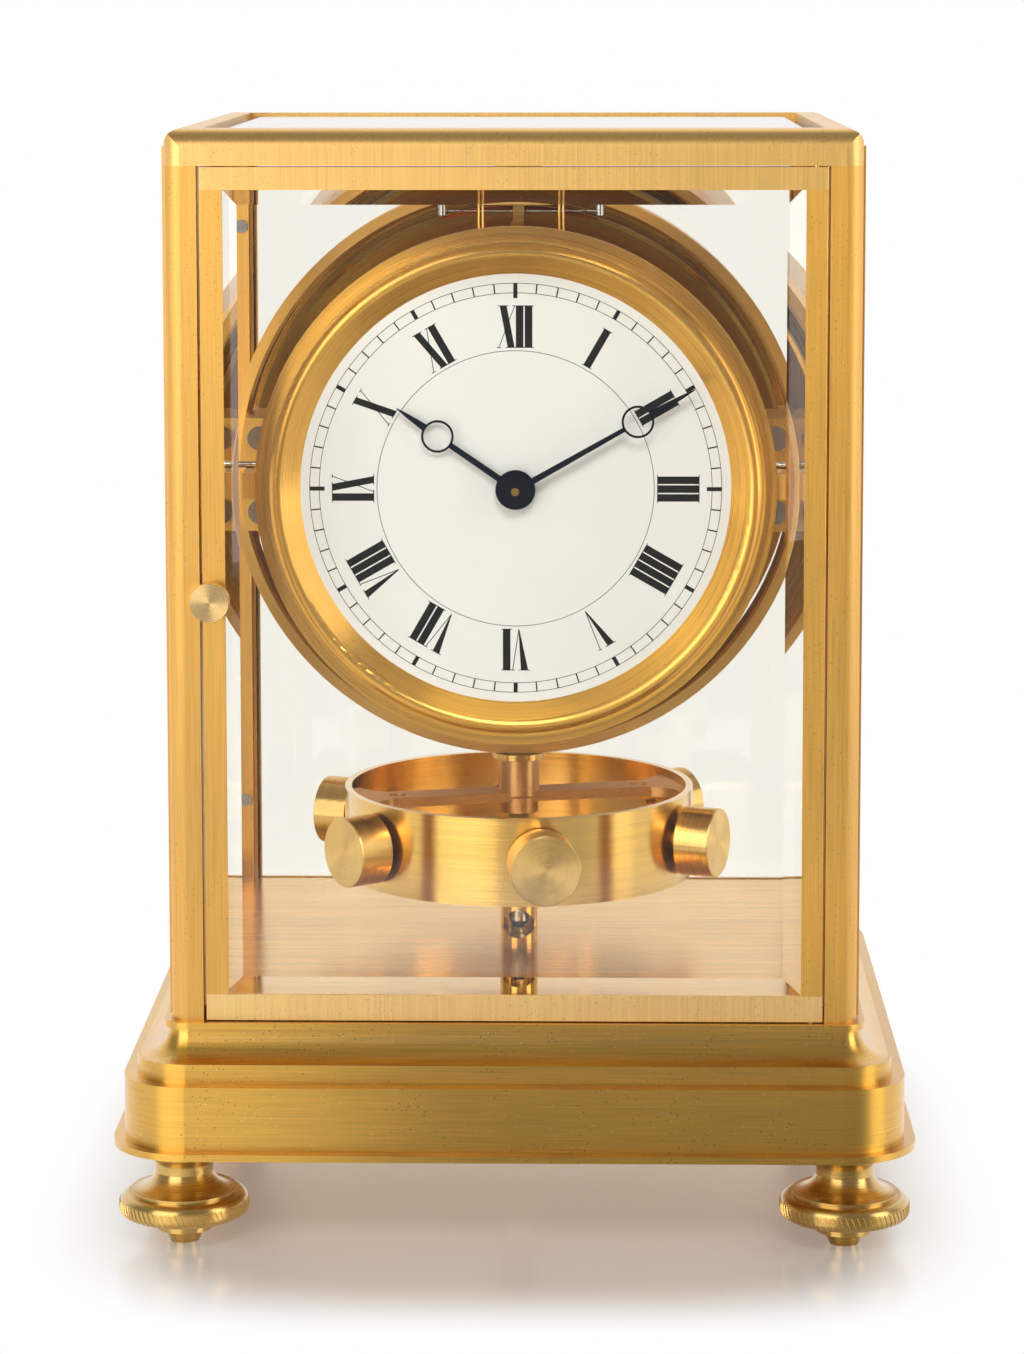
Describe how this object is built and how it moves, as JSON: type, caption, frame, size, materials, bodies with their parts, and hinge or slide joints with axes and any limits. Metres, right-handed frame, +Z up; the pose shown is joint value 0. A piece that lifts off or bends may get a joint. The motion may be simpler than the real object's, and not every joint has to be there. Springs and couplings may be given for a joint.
{
  "type": "atmospheric clock",
  "caption": "Brass and glass mantel clock with a torsion balance, a hinged glazed door, levelling feet and a movement wound by an expansion capsule.",
  "frame": {"origin": "on the table plane, under the centre of the base", "axes": "+X to the clock's right as seen from the front, +Y to the back, +Z up; the dial and the door face -Y"},
  "size_m": [0.195, 0.181, 0.27],
  "materials": {
    "polished_brass": "polished",
    "satin_brass": "brushed",
    "pale_brass": "brushed",
    "dark_brass": "polished",
    "steel": "polished",
    "blued_steel": "polished",
    "enamel": "gloss",
    "pane": "clear"
  },
  "bodies": {
    "case": {"base_plinth": "polished_brass", "lip_plate": "polished_brass", "bottom_plate": "polished_brass", "floor_plate": "pale_brass", "foot_collars": "polished_brass", "rear_feet": "polished_brass", "front_pillar_left": "satin_brass", "front_pillar_right": "satin_brass", "rear_pillar_left": "satin_brass", "rear_pillar_right": "satin_brass", "top_frame": "satin_brass", "top_glass": "pane", "side_glass_left": "pane", "side_glass_right": "pane", "side_bezel_left": "satin_brass", "side_bezel_right": "satin_brass", "rear_frame": "satin_brass", "rear_glass": "pane", "door_hinge_pins": "polished_brass", "rear_bridge": "satin_brass", "carrier_ring": "pale_brass", "drum_housing": "dark_brass", "drum_cover": "satin_brass", "expansion_capsule": "pale_brass", "shield_plate": "dark_brass", "bracket_left": "satin_brass", "bracket_right": "satin_brass", "fixing_screws": "steel", "movement_plates": "pale_brass", "dial_plate": "enamel", "dial_bezel": "satin_brass", "suspension_bracket": "satin_brass", "guard_tube": "satin_brass", "guide_post": "polished_brass"},
    "door": {"door_top_rail": "satin_brass", "door_bottom_rail": "satin_brass", "door_hinge_stile": "satin_brass", "door_latch_stile": "satin_brass", "door_glass": "pane"},
    "knob": {"door_knob": "polished_brass"},
    "tip_left": {"foot_tip_left": "polished_brass"},
    "tip_right": {"foot_tip_right": "polished_brass"},
    "foot_left": {"levelling_foot_left": "polished_brass"},
    "foot_right": {"levelling_foot_right": "polished_brass"},
    "minute_work": {"minute_arbor": "polished_brass", "minute_hand": "blued_steel"},
    "hour_work": {"hour_hand": "blued_steel"},
    "motion_work": {"motion_wheel": "polished_brass"},
    "barrel": {"mainspring_barrel": "polished_brass"},
    "third": {"third_wheel": "polished_brass"},
    "escape": {"escape_wheel": "polished_brass"},
    "pallet": {"pallet_lever": "steel"},
    "balance": {"balance_bar": "satin_brass", "balance_spindle": "steel", "balance_wire": "steel", "balance_ring": "satin_brass", "balance_weights": "satin_brass"},
    "capsule_end": {"capsule_plate": "steel"},
    "lock_sleeve": {"lock_sleeve": "steel"},
    "lock_lever": {"lock_lever": "polished_brass"}
  },
  "joints": [
    {"name": "door_hinge", "type": "hinge", "parent": "case", "child": "door", "pos_m": [0.0717, -0.0748, 0], "axis": [0, 0, 1], "range_deg": [0, 105]},
    {"name": "knob_turn", "type": "hinge", "parent": "door", "child": "knob", "pos_m": [-0.0724, 0, 0.1575], "axis": [0, -1, 0], "range_deg": [0, 90]},
    {"name": "foot_left_rise", "type": "slide", "parent": "case", "child": "tip_left", "axis": [0, 0, -1], "range_m": [0, 0.00503]},
    {"name": "foot_left_turn", "type": "hinge", "parent": "tip_left", "child": "foot_left", "pos_m": [-0.0803, -0.0745, 0], "axis": [0, 0, -1], "range_deg": [0, 1800]},
    {"name": "foot_right_rise", "type": "slide", "parent": "case", "child": "tip_right", "axis": [0, 0, -1], "range_m": [0, 0.00503]},
    {"name": "foot_right_turn", "type": "hinge", "parent": "tip_right", "child": "foot_right", "pos_m": [0.0803, -0.0745, 0], "axis": [0, 0, -1], "range_deg": [0, 1800]},
    {"name": "minute_turn", "type": "hinge", "parent": "case", "child": "minute_work", "pos_m": [0, 0, 0.1808], "axis": [0, 1, 0], "continuous": true},
    {"name": "hour_turn", "type": "hinge", "parent": "case", "child": "hour_work", "pos_m": [0, 0, 0.1808], "axis": [0, 1, 0], "continuous": true},
    {"name": "motion_turn", "type": "hinge", "parent": "case", "child": "motion_work", "pos_m": [-0.00328, 0, 0.18982], "axis": [0, 1, 0], "continuous": true},
    {"name": "barrel_turn", "type": "hinge", "parent": "case", "child": "barrel", "pos_m": [-0.024, 0, 0.1808], "axis": [0, 1, 0], "continuous": true},
    {"name": "third_turn", "type": "hinge", "parent": "case", "child": "third", "pos_m": [0.01434, 0, 0.17076], "axis": [0, 1, 0], "continuous": true},
    {"name": "escape_turn", "type": "hinge", "parent": "case", "child": "escape", "pos_m": [0.0113, 0, 0.15353], "axis": [0, 1, 0], "continuous": true},
    {"name": "pallet_rock", "type": "hinge", "parent": "case", "child": "pallet", "pos_m": [0.0008, 0, 0.15653], "axis": [0, 1, 0], "range_deg": [-6, 6]},
    {"name": "balance_turn", "type": "hinge", "parent": "case", "child": "balance", "pos_m": [0, 0, 0], "axis": [0, 0, 1], "range_deg": [-270, 270], "stiffness_Nm_per_rad": 0.000005},
    {"name": "capsule_push", "type": "slide", "parent": "case", "child": "capsule_end", "axis": [0, -1, 0], "range_m": [0, 0.002], "stiffness_N_per_m": 3000},
    {"name": "lock_turn", "type": "hinge", "parent": "case", "child": "lock_lever", "pos_m": [0, 0, 0], "axis": [0, 0, 1], "range_deg": [0, 90]},
    {"name": "lock_rise", "type": "slide", "parent": "case", "child": "lock_sleeve", "axis": [0, 0, 1], "range_m": [0, 0.0024]}
  ],
  "couplings": [
    {"joint": "hour_turn", "follows": "minute_turn", "ratio": 0.083333},
    {"joint": "motion_turn", "follows": "minute_turn", "ratio": -0.33333},
    {"joint": "barrel_turn", "follows": "minute_turn", "ratio": -0.14286},
    {"joint": "third_turn", "follows": "minute_turn", "ratio": -6},
    {"joint": "escape_turn", "follows": "minute_turn", "ratio": 36},
    {"joint": "foot_left_rise", "follows": "foot_left_turn", "m_per_rad": 0.00015915},
    {"joint": "foot_right_rise", "follows": "foot_right_turn", "m_per_rad": 0.00015915},
    {"joint": "lock_rise", "follows": "lock_turn", "m_per_rad": 0.0015279}
  ]
}
